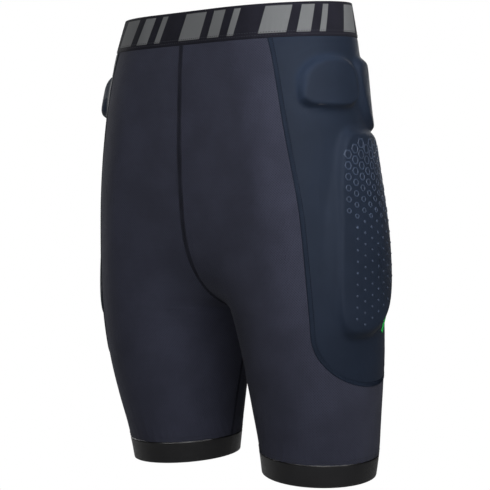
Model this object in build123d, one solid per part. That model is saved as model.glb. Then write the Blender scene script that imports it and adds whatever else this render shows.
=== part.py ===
from build123d import *
import math
import os
from functools import lru_cache
import numpy as np

# Padded impact shorts for skiing and snowboarding, in millimetres.
# +Z is up, the front faces -Y and the wearer's left is +X.
# The origin is the centre of the waist opening, so every height below it is negative.
#
# The garment is drawn as one smooth body surface. A place on it is given by a height z and
# by s, the distance round the body from the side line: minus is forward, plus is backward.
# Every piece is a sheet between two offsets from that surface.

# Overall sizes
BODY_LENGTH = 540
WAISTBAND_HEIGHT = 40
HEM_BAND_HEIGHT = 26
HEM_RADIUS = 66.5
LEG_SPACING = 101
LEG_CENTRE_Y = 28.5
WAIST_TILT = 0.10
HEM_TILT = 0.052

# Crotch: the fork where the two leg tubes part, and how fast the seams rise from it
CROTCH_Z = -351
CROTCH_Y = 37
FRONT_RISE = 114
BACK_RISE = 95
FRONT_ROUNDNESS = 2.4
BACK_ROUNDNESS = 2.2
INSEAM_CURVE = 0.7

# Fabric and pad thicknesses
FABRIC = 1.2
POCKET_FABRIC = 0.7
COVER_FABRIC = 0.75
BAND_FABRIC = 2.1
SEAM_TAPE = 0.7
THREAD = 0.45
CLEARANCE = 0.05
HIP_PAD = 8.5
REAR_PAD = 8.0
THIGH_PAD = 4.5
THIGH_CROWN = 6.0
CROWN_S = 32
CROWN_Z = -265
CROWN_WIDTH = 48
CROWN_HEIGHT = 85
CELL_HEIGHT = 3.5
TAILBONE_PAD = 8.0
COVER_SLOPE = 14.0
COVER_GAP = 0.1
COVER_LIFT = 0.2

# Size chart of the left half: height, half width, depth to the front and to the back,
# x of the foremost and rearmost points, y of the widest point
INSEAM_AT_HEM = LEG_SPACING - HEM_RADIUS
SIZE_CHART = [
    (0, 145.5, 93, 90, 48, 50, 2),
    (-40, 155, 99, 91, 60, 55, -1),
    (-90, 162, 102, 95, 74, 62, -6),
    (-155, 168, 103, 103, 88, 72, -9),
    (-220, 174, 100, 110, 99, 83, -7),
    (-270, 179, 95, 110, 104, 90, -4),
    (-330, 184, 89, 105, 106, 96, 0),
    (-390, 186, 77, 99, 109, 100, 7),
    (-465, 179.5, 56, 96, 107, 101, 19),
    (-514, 172.5, 42, 95.5, 102, 101, 27),
    (-540, 167.5, 38, 95, LEG_SPACING, LEG_SPACING, LEG_CENTRE_Y),
]

# Side panel: a cover that widens forward at the waist and ends in a round bottom
SIDE_CENTRE = 4
SIDE_FRONT = 80
SIDE_REAR = 114
FRONT_FLARE = 20
FRONT_FLARE_START = -240
FRONT_FLARE_POWER = 1.3
SIDE_ROUND_START = -370
SIDE_ROUND_DEPTH = 56
LEG_SEAM_TURN = math.radians(32)
LEG_SEAM_HEM_S = 58
LINING_BOTTOM = -115

CIRCLE_HANDLE = 0.5523


def smooth_through(levels, values):
    """A natural cubic spline through the chart values, as a function of height."""
    count = len(levels)
    steps = np.diff(levels)
    slopes = np.diff(values) / steps
    matrix = np.eye(count)
    right_side = np.zeros(count)
    for i in range(1, count - 1):
        matrix[i, i - 1:i + 2] = steps[i - 1], 2 * (steps[i - 1] + steps[i]), steps[i]
        right_side[i] = 6 * (slopes[i] - slopes[i - 1])
    bends = np.linalg.solve(matrix, right_side)

    def value(z):
        i = int(np.clip(np.searchsorted(levels, z) - 1, 0, count - 2))
        low = (levels[i + 1] - z) / steps[i]
        high = 1 - low
        cubic = (low**3 - low) * bends[i] + (high**3 - high) * bends[i + 1]
        return low * values[i] + high * values[i + 1] + cubic * steps[i]**2 / 6

    return value


CHART_COLUMNS = np.array(SIZE_CHART[::-1], float).T
CHART = [smooth_through(CHART_COLUMNS[0], column) for column in CHART_COLUMNS[1:]]


def quarter(start, start_way, start_reach, end, end_way, end_reach, steps=40):
    """Points of a cubic Bezier quarter of the outline, without its last point."""
    t = np.linspace(0, 1, steps, endpoint=False)[:, None]
    start = np.array(start, float)
    end = np.array(end, float)
    first = start + np.array(start_way) * start_reach
    second = end - np.array(end_way) * end_reach
    return (1 - t)**3 * start + 3 * t * (1 - t)**2 * first + 3 * t**2 * (1 - t) * second + t**3 * end


def rise(z, height, roundness):
    """How far a centre seam has left the fork, from 0 at the fork to 1 at full depth."""
    part = np.clip((z - CROTCH_Z) / height, 0, 1)
    return float((1 - (1 - part)**roundness)**(1 / roundness))


@lru_cache(maxsize=None)
def outline(z):
    """The left half outline at a height: points from front to back, and their s values."""
    half_width, front, back, front_x, back_x, side_y = (curve(z) for curve in CHART)
    if z >= CROTCH_Z:
        front_part = rise(z, FRONT_RISE, FRONT_ROUNDNESS)
        back_part = rise(z, BACK_RISE, BACK_ROUNDNESS)
        start = (0, CROTCH_Y * (1 - front_part) - front * front_part)
        end = (0, CROTCH_Y * (1 - back_part) + back * back_part)
    else:
        depth = (CROTCH_Z - z) / (CROTCH_Z + BODY_LENGTH)
        start = (INSEAM_AT_HEM * depth**INSEAM_CURVE, CROTCH_Y + (LEG_CENTRE_Y - CROTCH_Y) * depth)
        end = start
        front_part = 0
        back_part = 0
    front_angle = math.pi / 2 * (1 - front_part)
    back_angle = math.pi / 2 * (1 - back_part)
    start_way = (math.cos(front_angle), -math.sin(front_angle))
    end_way = (-math.cos(back_angle), -math.sin(back_angle))
    front_point = (front_x, -front)
    side_point = (half_width, side_y)
    back_point = (back_x, back)
    front_handle = 1 / 3 + 0.219 * (1 - front_part)
    back_handle = 1 / 3 + 0.219 * (1 - back_part)
    start_reach = abs(np.dot(np.subtract(front_point, start), start_way))
    end_reach = abs(np.dot(np.subtract(end, back_point), end_way))
    forward = (1, 0)
    sideways = (0, 1)
    rearward = (-1, 0)
    quarters = [
        quarter(start, start_way, front_handle * start_reach,
                front_point, forward, front_handle * (front_x - start[0])),
        quarter(front_point, forward, CIRCLE_HANDLE * (half_width - front_x),
                side_point, sideways, CIRCLE_HANDLE * (side_y + front)),
        quarter(side_point, sideways, CIRCLE_HANDLE * (back - side_y),
                back_point, rearward, CIRCLE_HANDLE * (half_width - back_x)),
        quarter(back_point, rearward, back_handle * (back_x - end[0]),
                end, end_way, back_handle * end_reach),
    ]
    points = np.vstack(quarters + [np.array([end], float)])
    lengths = np.r_[0, np.cumsum(np.hypot(*np.diff(points, axis=0).T))]
    side_index = 2 * len(quarters[0])
    return points, lengths - lengths[side_index]


def centre_front(z):
    return outline(z)[1][0]


def centre_back(z):
    return outline(z)[1][-1]


def tilted(z, x, y):
    """The true height of a point, since the waist and the hems are tilted planes."""
    leg_part = np.clip((CROTCH_Z - z) / (CROTCH_Z + BODY_LENGTH), 0, 1)
    waist_part = np.clip((z - CROTCH_Z) / -CROTCH_Z, 0, 1)**2
    hem_drop = HEM_TILT * ((abs(x) - LEG_SPACING) - (y - LEG_CENTRE_Y))
    return z - leg_part * hem_drop + waist_part * WAIST_TILT * y


def place(z, s, offset=0.0):
    """A point on the body surface, moved outward by the offset.

    Past a centre seam the point is the mirror image; past an inseam it goes on round the leg.
    """
    points, lengths = outline(z)
    side = 1
    if s < lengths[0] and z < CROTCH_Z:
        s += lengths[-1] - lengths[0]
    elif s < lengths[0]:
        s = 2 * lengths[0] - s
        side = -1
    elif s > lengths[-1]:
        s = 2 * lengths[-1] - s
        side = -1
    step = 1.5
    before = max(s - step, lengths[0])
    after = min(s + step, lengths[-1])
    x, x_before, x_after = np.interp([s, before, after], lengths, points[:, 0])
    y, y_before, y_after = np.interp([s, before, after], lengths, points[:, 1])
    run = math.hypot(x_after - x_before, y_after - y_before)
    x += (y_after - y_before) / run * offset
    y -= (x_after - x_before) / run * offset
    return Vector(side * x, y, tilted(z, x, y))


def outward(z, s):
    """The level direction that points out of the body."""
    return (place(z, s, 1) - place(z, s)).normalized()


def as_function(value):
    return value if callable(value) else lambda *_: value


def sheet(front_line, rear_line, inner, outer, columns=15):
    """A solid sheet lofted upward between two lines, which are lists of (z, s) places."""
    inner, outer = as_function(inner), as_function(outer)
    parameters = list(np.linspace(0, 1, columns))
    sections = []
    for (front_z, front_s), (rear_z, rear_s) in zip(front_line, rear_line):
        run = list(zip(np.linspace(front_z, rear_z, columns), np.linspace(front_s, rear_s, columns)))
        outside = [place(z, s, outer(z, s)) for z, s in run]
        inside = [place(z, s, inner(z, s)) for z, s in run[::-1]]
        sections.append(Wire([
            Edge.make_spline(outside, parameters=parameters),
            Edge.make_line(outside[-1], inside[0]),
            Edge.make_spline(inside, parameters=parameters),
            Edge.make_line(inside[-1], outside[0]),
        ]))
    return Solid.make_loft(sections)


def level_sheet(levels, front_edge, rear_edge, inner, outer, columns=15):
    """A sheet with level sections, whose edges are functions of height."""
    front_edge, rear_edge = as_function(front_edge), as_function(rear_edge)
    front_line = [(z, front_edge(z)) for z in levels]
    rear_line = [(z, rear_edge(z)) for z in levels]
    return sheet(front_line, rear_line, inner, outer, columns)


def ribbon(path, width, lift, thickness=SEAM_TAPE):
    """A flat tape that follows a path of (z, s) places; its two ends are cut level."""
    lift = as_function(lift)
    last = len(path) - 1
    near_line = []
    far_line = []
    for i, (z, s) in enumerate(path):
        along = np.subtract(path[min(i + 1, last)], path[max(i - 1, 0)])
        if i in (0, last):
            along[1] = 0
        across = np.array([-along[1], along[0]]) / math.hypot(*along) * width / 2
        near_line.append((z - across[0], s - across[1]))
        far_line.append((z + across[0], s + across[1]))
    return sheet(near_line, far_line, lift, lambda z, s: lift(z, s) + thickness, 5)


def loop(z, offset, columns=29):
    """The closed outline of the waist, or of one leg below the fork."""
    run = np.linspace(centre_front(z), centre_back(z), columns)
    points = [place(z, s, offset) for s in run]
    if z >= CROTCH_Z:
        points += [Vector(-point.X, point.Y, point.Z) for point in points[-2:0:-1]]
    else:
        points = points[:-1]
    return Wire([Edge.make_spline(points, periodic=True)])


def ring(low, high, inner, outer):
    """A band all the way round the waist or a leg, between two heights."""
    levels = list(np.linspace(low, high, 4))
    overshoot = 1.0
    inside_levels = [low - overshoot] + levels[1:-1] + [high + overshoot]
    outside = Solid.make_loft([loop(z, outer) for z in levels])
    return outside - Solid.make_loft([loop(z, inner) for z in inside_levels])


def spaced(low, high, step):
    """Even levels from low to high, about one step apart."""
    return list(np.linspace(low, high, max(2, round((high - low) / step) + 1)))


def mirrored(solid):
    return mirror(solid, about=Plane.YZ)


HEM_TOP = HEM_BAND_HEIGHT - BODY_LENGTH
BAND_BOTTOM = -WAISTBAND_HEIGHT
FORK_GAPS = (0.3, 1.5, 4, 9, 17, 28)


# Side panel outline: front and rear edges as functions of height

def side_scale(z):
    """1 on the straight edges, shrinking to 0 round the bottom."""
    bottom = np.clip((SIDE_ROUND_START - z) / SIDE_ROUND_DEPTH, 0, 1)
    return math.sqrt(1 - bottom**2)


def side_front(z):
    flare = np.clip((z - FRONT_FLARE_START) / (BAND_BOTTOM - FRONT_FLARE_START), 0, 1)
    return SIDE_CENTRE - (SIDE_FRONT + FRONT_FLARE * flare**FRONT_FLARE_POWER) * side_scale(z)


def side_rear(z):
    return SIDE_CENTRE + SIDE_REAR * side_scale(z)


def side_bottom(turns):
    """Places on the round bottom, from the angles off straight down, forward being minus."""
    places = []
    for turn in turns:
        half_width = SIDE_FRONT if turn < 0 else SIDE_REAR
        s = SIDE_CENTRE + half_width * math.sin(turn)
        places.append((SIDE_ROUND_START - SIDE_ROUND_DEPTH * math.cos(turn), s))
    return places


def side_region(inner, outer, columns=15, step=22):
    """A sheet inside the side panel's outline."""
    turns = (87, 80, 70, 58, 44, 30, 15)
    low = [SIDE_ROUND_START - SIDE_ROUND_DEPTH * math.sin(math.radians(turn)) for turn in turns]
    levels = low + spaced(SIDE_ROUND_START, BAND_BOTTOM, step)
    return level_sheet(levels, side_front, side_rear, inner, outer, columns)


# Pads: each outline is four quarters of super-ellipses round a leaning centre line

class PadShape:
    def __init__(self, centre_s, centre_z, front, rear, up, down, front_powers, rear_powers,
                 thickness, lean=0.0):
        """The powers are those of the upper and of the lower quarter."""
        self.centre_s = centre_s
        self.centre_z = centre_z
        self.front = front
        self.rear = rear
        self.up = up
        self.down = down
        self.front_powers = front_powers
        self.rear_powers = rear_powers
        self.thickness = thickness
        self.lean = lean

    def centre(self, z):
        return self.centre_s + self.lean * (z - self.centre_z)

    def quarter(self, z, behind):
        """The half width, reach and power of the quarter that a place is in."""
        above = z >= self.centre_z
        powers = self.rear_powers if behind else self.front_powers
        half_width = self.rear if behind else self.front
        return half_width, self.up if above else self.down, powers[0 if above else 1]

    def edge(self, z, behind):
        half_width, reach, power = self.quarter(z, behind)
        part = min(abs(z - self.centre_z) / reach, 1)
        half = half_width * (1 - part**power)**(1 / power)
        return self.centre(z) + (half if behind else -half)

    def levels(self):
        turns = (84, 74, 62, 48, 32, 16)
        low = [self.centre_z - self.down * math.sin(math.radians(turn)) for turn in turns]
        high = [self.centre_z + self.up * math.sin(math.radians(turn)) for turn in turns]
        return low + [self.centre_z] + high[::-1]

    def closeness(self, z, s):
        """1 on the pad, falling smoothly to 0 at the end of the cover's slope."""
        half_width, reach, power = self.quarter(z, s > self.centre(z))
        across = abs(s - self.centre(z)) / (half_width + 2)
        along = abs(z - self.centre_z) / (reach + 2)
        radius = (across**power + along**power)**(1 / power)
        outside = (radius - 1) * min(half_width, reach) / COVER_SLOPE
        part = float(np.clip(1 - outside, 0, 1))
        return part * part * (3 - 2 * part)

    def solid(self, inner):
        return level_sheet(self.levels(), lambda z: self.edge(z, False), lambda z: self.edge(z, True),
                           inner, self.thickness, 17)


def thigh_top(z, s):
    """The thigh pad is thickest a little behind the side line."""
    across = (s - CROWN_S) / CROWN_WIDTH
    along = (z - CROWN_Z) / CROWN_HEIGHT
    return THIGH_PAD + THIGH_CROWN * math.exp(-across**2 - along**2)


def cell_top(z, s):
    return thigh_top(z, s) + CELL_HEIGHT


HIP_SHAPE = PadShape(-27, -92, 42, 41, 31, 29, (2.1, 3.6), (2.2, 3.0), HIP_PAD)
REAR_SHAPE = PadShape(52, -104, 33, 33, 42, 44, (2.6, 2.2), (2.6, 2.2), REAR_PAD, lean=-0.5)
THIGH_SHAPE = PadShape(-7, -290, 51, 98, 147, 87, (2, 2.3), (3.5, 2.1), thigh_top, lean=0.1)
CELL_SHAPE = PadShape(-7, -262, 29, 88, 119, 113, (3, 4), (4.5, 2.1), cell_top, lean=0.13)
COVERED_PADS = (HIP_SHAPE, REAR_SHAPE, THIGH_SHAPE, CELL_SHAPE)
PAD_SEAT = -FABRIC + POCKET_FABRIC + CLEARANCE


def cover_inner(z, s):
    """The inner face of the side panel, lifted over the pads."""
    lifts = []
    for pad in COVERED_PADS:
        top = as_function(pad.thickness)(z, s)
        lifts.append(pad.closeness(z, s) * (top + COVER_GAP - PAD_SEAT))
    return PAD_SEAT + COVER_LIFT + max(lifts)


def cover_outer(z, s):
    return cover_inner(z, s) + COVER_FABRIC


def side_panel():
    return side_region(cover_inner, cover_outer, columns=41, step=10)


def side_panel_seam(width=6.0):
    """The tape that runs down the front edge, round the bottom and up the rear edge."""
    levels = spaced(SIDE_ROUND_START, BAND_BOTTOM, 22)
    front = [(z, side_front(z)) for z in levels[::-1]]
    rear = [(z, side_rear(z)) for z in levels]
    path = front + side_bottom(np.radians(np.arange(-75, 76, 15))) + rear
    return ribbon(path, width, PAD_SEAT + COVER_FABRIC + CLEARANCE)


def leg_seam_line(rows):
    """The rear leg seam, from the hem band up to the side panel's round bottom."""
    top_z = SIDE_ROUND_START - SIDE_ROUND_DEPTH * math.cos(LEG_SEAM_TURN)
    top_s = SIDE_CENTRE + SIDE_REAR * math.sin(LEG_SEAM_TURN)
    return list(zip(np.linspace(HEM_TOP, top_z, rows), np.linspace(LEG_SEAM_HEM_S, top_s, rows)))


def panel_levels(seam_rows, seam_top, bottom_rows, side_rows):
    """Heights of a panel's rows on its centre line, closer together at the fork."""
    fork = [CROTCH_Z - gap for gap in FORK_GAPS[::-1]] + [CROTCH_Z] + [CROTCH_Z + gap for gap in FORK_GAPS]
    low = list(np.linspace(HEM_TOP, seam_top, seam_rows))
    middle = list(np.linspace(seam_top, fork[0], bottom_rows + 1))[1:]
    high = list(np.linspace(fork[-1], BAND_BOTTOM, side_rows + 1))[1:]
    return low, middle, fork[1:], high


def panel_lines(seam_top, last_turn, side_edge, centre):
    """A panel's outer line, up the leg seam and the side panel's edge, and its centre line."""
    low, middle, fork, high = panel_levels(6, seam_top, 8, 11)
    turns = np.linspace(LEG_SEAM_TURN, last_turn, len(middle) + 1)
    upper = fork + high
    edge_levels = np.interp(upper, (upper[0], upper[-1]), (SIDE_ROUND_START, BAND_BOTTOM))
    outer_line = leg_seam_line(len(low)) + side_bottom(turns[1:])
    outer_line += [(z, side_edge(z)) for z in edge_levels]
    return outer_line, [(z, centre(z)) for z in low + middle + upper]


def front_panel():
    outer_line, centre_line = panel_lines(-478, math.radians(-83), side_front, centre_front)
    return sheet(centre_line, outer_line, -FABRIC, 0.0, 27)


def back_panel():
    outer_line, centre_line = panel_lines(-430, math.radians(84), side_rear, centre_back)
    return sheet(outer_line, centre_line, -FABRIC, 0.0, 27)


def waistband():
    return ring(BAND_BOTTOM, 0, -FABRIC, BAND_FABRIC - FABRIC)


def waistband_stitching():
    face = BAND_FABRIC - FABRIC
    rows = [ring(z, z + 1.0, face + CLEARANCE, face + THREAD) for z in (-37.5, -34.0)]
    return Compound(children=rows)


def waistband_label(width=34.0):
    return level_sheet([-32, -24, -16, -8], lambda z: centre_back(z) - width / 2,
                       lambda z: centre_back(z) + width / 2, -FABRIC - 0.8, -FABRIC - CLEARANCE, 9)


def front_lining(width=226.0):
    return level_sheet(spaced(LINING_BOTTOM, BAND_BOTTOM, 19), lambda z: centre_front(z) - width / 2,
                       lambda z: centre_front(z) + width / 2, -FABRIC - 0.6, -FABRIC - CLEARANCE, 25)


def front_centre_seam():
    levels = [CROTCH_Z + 12, CROTCH_Z + 19, CROTCH_Z + 28] + spaced(CROTCH_Z + 44, BAND_BOTTOM, 30)
    return ribbon([(z, centre_front(z)) for z in levels], 7, CLEARANCE)


def back_centre_seam():
    return ribbon([(z, centre_back(z)) for z in spaced(-335, -185, 15)], 7, CLEARANCE)


def inseam():
    levels = spaced(HEM_TOP, CROTCH_Z - 28, 26) + [CROTCH_Z - gap for gap in (17, 9, 4)]
    return ribbon([(z, centre_front(z)) for z in levels], 6, CLEARANCE)


def leg_seam():
    return ribbon(leg_seam_line(6)[:-1], 6, CLEARANCE)


def hem_band():
    return ring(-BODY_LENGTH, HEM_TOP, -0.9, 0.5)


def hem_stitching():
    rows = [ring(z, z + 1.0, CLEARANCE, THREAD) for z in (HEM_TOP + 1.5, HEM_TOP + 4.5)]
    return Compound(children=rows)


def hem_gripper(height=14.0, wall=1.2):
    """A silicone ring inside the hem band, a true cylinder at rest."""
    outer_radius = HEM_RADIUS - 1.0
    ring_blank = Cylinder(outer_radius, height) - Cylinder(outer_radius - wall, height + 2)
    return Pos(LEG_SPACING, LEG_CENTRE_Y, 8 + height / 2 - BODY_LENGTH) * ring_blank


def thigh_cells(pitch_s=10.8, pitch_z=12.4, largest=4.4, smallest=1.3):
    """Hexagonal cells on the thigh pad, in staggered columns, that shrink downward."""
    margin = 5
    top = CELL_SHAPE.centre_z + CELL_SHAPE.up - margin
    bottom = CELL_SHAPE.centre_z - CELL_SHAPE.down + margin
    cells = []
    for column in range(-2, 8):
        z = top - (column % 2) * pitch_z / 2
        while z > bottom:
            s = CELL_SHAPE.centre(z) + column * pitch_s
            if CELL_SHAPE.edge(z, False) + margin < s < CELL_SHAPE.edge(z, True) - margin:
                part = (top - z) / (top - bottom)
                radius = smallest + (largest - smallest) * (1 - part)**2
                foot = place(z, s, thigh_top(z, s) + 0.4)
                plane = Plane(origin=foot, z_dir=outward(z, s), x_dir=(0, 0, 1))
                cells.append(extrude(plane * RegularPolygon(radius, 6), CELL_HEIGHT - 0.5))
            z -= pitch_z
    return Compound(children=cells)


TAILBONE_Z = -112
TAILBONE_HALF_WIDTH = 34
TAILBONE_UP = 56
TAILBONE_DOWN = 60


def tailbone_reach(z):
    return TAILBONE_UP if z >= TAILBONE_Z else TAILBONE_DOWN


def tailbone_sheet(inner, outer, grow=0.0):
    """An oval sheet on the back centre line, grown all round by a margin."""
    def half(z):
        part = abs(z - TAILBONE_Z) / (tailbone_reach(z) + grow)
        return (TAILBONE_HALF_WIDTH + grow) * math.sqrt(max(0.02, 1 - part**2))

    low = TAILBONE_Z - (TAILBONE_DOWN + grow) * 0.99
    high = TAILBONE_Z + (TAILBONE_UP + grow) * 0.99
    return level_sheet(spaced(low, high, 9), lambda z: centre_back(z) - half(z),
                       lambda z: centre_back(z) + half(z), inner, outer, 15)


def tailbone_pad():
    return tailbone_sheet(0.2, TAILBONE_PAD)


def tailbone_pocket(slope=12.0):
    """The cover sewn over the tailbone pad."""
    def inner(z, s):
        across = abs(s - centre_back(z)) / (TAILBONE_HALF_WIDTH + 2)
        along = abs(z - TAILBONE_Z) / (tailbone_reach(z) + 2)
        outside = (math.hypot(across, along) - 1) * TAILBONE_HALF_WIDTH / slope
        part = float(np.clip(1 - outside, 0, 1))
        return 0.1 + (TAILBONE_PAD + 0.2) * part * part * (3 - 2 * part)

    return tailbone_sheet(inner, lambda z, s: inner(z, s) + COVER_FABRIC, slope + 3)


def accent_strip():
    """A short bright tape that lies on the side panel at the thigh pad's lower edge."""
    path = list(zip(spaced(-371, -343, 7), spaced(30, 48, 7)))
    return ribbon(path, 4, lambda z, s: cover_outer(z, s) + 0.3, 0.8)


CENTRE_PIECES = {
    "waistband": waistband(),
    "waistband_stitching": waistband_stitching(),
    "waistband_label": waistband_label(),
    "front_lining": front_lining(),
    "front_centre_seam": front_centre_seam(),
    "back_centre_seam": back_centre_seam(),
    "tailbone_pad": tailbone_pad(),
    "tailbone_pocket": tailbone_pocket(),
}
LEFT_PIECES = {
    "front_panel": front_panel(),
    "back_panel": back_panel(),
    "side_panel": side_panel(),
    "side_panel_seam": side_panel_seam(),
    "pad_pocket": side_region(-FABRIC, -FABRIC + POCKET_FABRIC),
    "hip_pad": HIP_SHAPE.solid(PAD_SEAT),
    "rear_hip_pad": REAR_SHAPE.solid(PAD_SEAT),
    "thigh_pad": THIGH_SHAPE.solid(PAD_SEAT),
    "thigh_pad_cells": thigh_cells(),
    "accent_strip": accent_strip(),
    "leg_seam": leg_seam(),
    "inseam": inseam(),
    "hem_band": hem_band(),
    "hem_stitching": hem_stitching(),
    "hem_gripper": hem_gripper(),
}

os.makedirs("parts", exist_ok=True)
for name, solid in CENTRE_PIECES.items():
    export_step(solid, f"parts/{name}.step")
for name, solid in LEFT_PIECES.items():
    export_step(solid, f"parts/{name}_left.step")
    export_step(mirrored(solid), f"parts/{name}_right.step")
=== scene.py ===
import math
from dataclasses import dataclass

import bpy
import numpy as np
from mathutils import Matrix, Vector


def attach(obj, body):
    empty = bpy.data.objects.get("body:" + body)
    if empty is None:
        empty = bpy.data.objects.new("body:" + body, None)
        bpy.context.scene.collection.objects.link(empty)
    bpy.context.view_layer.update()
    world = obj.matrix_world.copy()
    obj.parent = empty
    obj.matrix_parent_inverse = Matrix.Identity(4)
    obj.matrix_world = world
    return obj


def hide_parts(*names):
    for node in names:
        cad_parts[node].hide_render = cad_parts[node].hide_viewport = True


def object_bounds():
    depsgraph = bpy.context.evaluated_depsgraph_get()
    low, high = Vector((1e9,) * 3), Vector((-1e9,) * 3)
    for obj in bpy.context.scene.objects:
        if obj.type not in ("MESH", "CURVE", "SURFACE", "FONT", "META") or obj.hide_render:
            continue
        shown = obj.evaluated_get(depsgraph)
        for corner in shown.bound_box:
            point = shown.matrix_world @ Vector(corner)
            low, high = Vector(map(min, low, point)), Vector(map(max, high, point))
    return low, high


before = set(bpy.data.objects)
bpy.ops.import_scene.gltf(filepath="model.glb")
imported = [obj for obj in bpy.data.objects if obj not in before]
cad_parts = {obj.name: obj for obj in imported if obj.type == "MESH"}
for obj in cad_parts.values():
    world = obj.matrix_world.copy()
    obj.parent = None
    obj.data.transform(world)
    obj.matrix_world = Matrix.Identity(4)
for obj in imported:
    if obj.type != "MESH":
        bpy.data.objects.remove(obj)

cad_box = [list(corner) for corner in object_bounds()]

# Padded impact shorts. Places on the garment are in millimetres: a height z below the waist
# and s, the distance round the body from the side line, minus forward and plus backward.
MM = 0.001

# The garment's size chart and the sizes that its CAD solids have
BODY_LENGTH = 540.0
WAISTBAND_HEIGHT = 40.0
HEM_BAND_HEIGHT = 26.0
LEG_SPACING = 101.0
LEG_CENTRE_Y = 28.5
HEM_RADIUS = 66.5
WAIST_TILT = 0.10
HEM_TILT = 0.052
CROTCH_Z = -351.0
CROTCH_Y = 37.0
FRONT_RISE = 114.0
BACK_RISE = 95.0
FRONT_ROUNDNESS = 2.4
BACK_ROUNDNESS = 2.2
INSEAM_CURVE = 0.7
FABRIC = 1.2
SIZE_CHART = [
    (0, 145.5, 93, 90, 48, 50, 2),
    (-40, 155, 99, 91, 60, 55, -1),
    (-90, 162, 102, 95, 74, 62, -6),
    (-155, 168, 103, 103, 88, 72, -9),
    (-220, 174, 100, 110, 99, 83, -7),
    (-270, 179, 95, 110, 104, 90, -4),
    (-330, 184, 89, 105, 106, 96, 0),
    (-390, 186, 77, 99, 109, 100, 7),
    (-465, 179.5, 56, 96, 107, 101, 19),
    (-514, 172.5, 42, 95.5, 102, 101, 27),
    (-540, 167.5, 38, 95, LEG_SPACING, LEG_SPACING, LEG_CENTRE_Y),
]
HEM_TOP = HEM_BAND_HEIGHT - BODY_LENGTH
BAND_BOTTOM = -WAISTBAND_HEIGHT

# Side panel
SIDE_CENTRE = 4.0
SIDE_FRONT = 80.0
SIDE_REAR = 114.0
FRONT_FLARE = 20.0
FRONT_FLARE_START = -240.0
FRONT_FLARE_POWER = 1.3
SIDE_ROUND_START = -370.0
SIDE_ROUND_DEPTH = 56.0
LEG_SEAM_TURN = math.radians(32)
LEG_SEAM_HEM_S = 58.0
LINING_BOTTOM = -115.0


# ---- the body surface

def smooth_through(levels, values):
    """A natural cubic spline through the chart values, as a function of height."""
    count = len(levels)
    steps = np.diff(levels)
    slopes = np.diff(values) / steps
    matrix = np.eye(count)
    right_side = np.zeros(count)
    for i in range(1, count - 1):
        matrix[i, i - 1:i + 2] = steps[i - 1], 2 * (steps[i - 1] + steps[i]), steps[i]
        right_side[i] = 6 * (slopes[i] - slopes[i - 1])
    bends = np.linalg.solve(matrix, right_side)

    def value(z):
        i = int(np.clip(np.searchsorted(levels, z) - 1, 0, count - 2))
        low = (levels[i + 1] - z) / steps[i]
        high = 1 - low
        cubic = (low**3 - low) * bends[i] + (high**3 - high) * bends[i + 1]
        return low * values[i] + high * values[i + 1] + cubic * steps[i]**2 / 6

    return value


CHART_COLUMNS = np.array(SIZE_CHART[::-1], float).T
CHART = [smooth_through(CHART_COLUMNS[0], column) for column in CHART_COLUMNS[1:]]


def quarter(start, start_way, start_reach, end, end_way, end_reach, steps=40):
    """Points of a cubic Bezier quarter of the outline, without its last point."""
    t = np.linspace(0, 1, steps, endpoint=False)[:, None]
    start = np.array(start, float)
    end = np.array(end, float)
    first = start + np.array(start_way) * start_reach
    second = end - np.array(end_way) * end_reach
    return (1 - t)**3 * start + 3 * t * (1 - t)**2 * first + 3 * t**2 * (1 - t) * second + t**3 * end


def rise(z, height, roundness):
    """How far a centre seam has left the fork, from 0 at the fork to 1 at full depth."""
    part = np.clip((z - CROTCH_Z) / height, 0, 1)
    return float((1 - (1 - part)**roundness)**(1 / roundness))


def outline(z):
    """The left half outline at a height: points from front to back, and their s values."""
    half_width, front, back, front_x, back_x, side_y = (curve(z) for curve in CHART)
    front_part, back_part = rise(z, FRONT_RISE, FRONT_ROUNDNESS), rise(z, BACK_RISE, BACK_ROUNDNESS)
    if z >= CROTCH_Z:
        start = (0, CROTCH_Y * (1 - front_part) - front * front_part)
        end = (0, CROTCH_Y * (1 - back_part) + back * back_part)
    else:
        depth = (CROTCH_Z - z) / (CROTCH_Z + BODY_LENGTH)
        inseam_y = CROTCH_Y + (LEG_CENTRE_Y - CROTCH_Y) * depth
        start = ((LEG_SPACING - HEM_RADIUS) * depth**INSEAM_CURVE, inseam_y)
        end = start
    front_angle = math.pi / 2 * (1 - front_part)
    back_angle = math.pi / 2 * (1 - back_part)
    start_way = (math.cos(front_angle), -math.sin(front_angle))
    end_way = (-math.cos(back_angle), -math.sin(back_angle))
    front_point, side_point, back_point = (front_x, -front), (half_width, side_y), (back_x, back)
    front_handle = 1 / 3 + 0.219 * (1 - front_part)
    back_handle = 1 / 3 + 0.219 * (1 - back_part)
    start_reach = abs(np.dot(np.subtract(front_point, start), start_way))
    end_reach = abs(np.dot(np.subtract(end, back_point), end_way))
    round_handle = 0.5523
    quarters = [
        quarter(start, start_way, front_handle * start_reach,
                front_point, (1, 0), front_handle * (front_x - start[0])),
        quarter(front_point, (1, 0), round_handle * (half_width - front_x),
                side_point, (0, 1), round_handle * (side_y + front)),
        quarter(side_point, (0, 1), round_handle * (back - side_y),
                back_point, (-1, 0), round_handle * (half_width - back_x)),
        quarter(back_point, (-1, 0), back_handle * (back_x - end[0]),
                end, end_way, back_handle * end_reach),
    ]
    points = np.vstack(quarters + [np.array([end], float)])
    lengths = np.r_[0, np.cumsum(np.hypot(*np.diff(points, axis=0).T))]
    return points, lengths - lengths[2 * len(quarters[0])]


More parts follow.
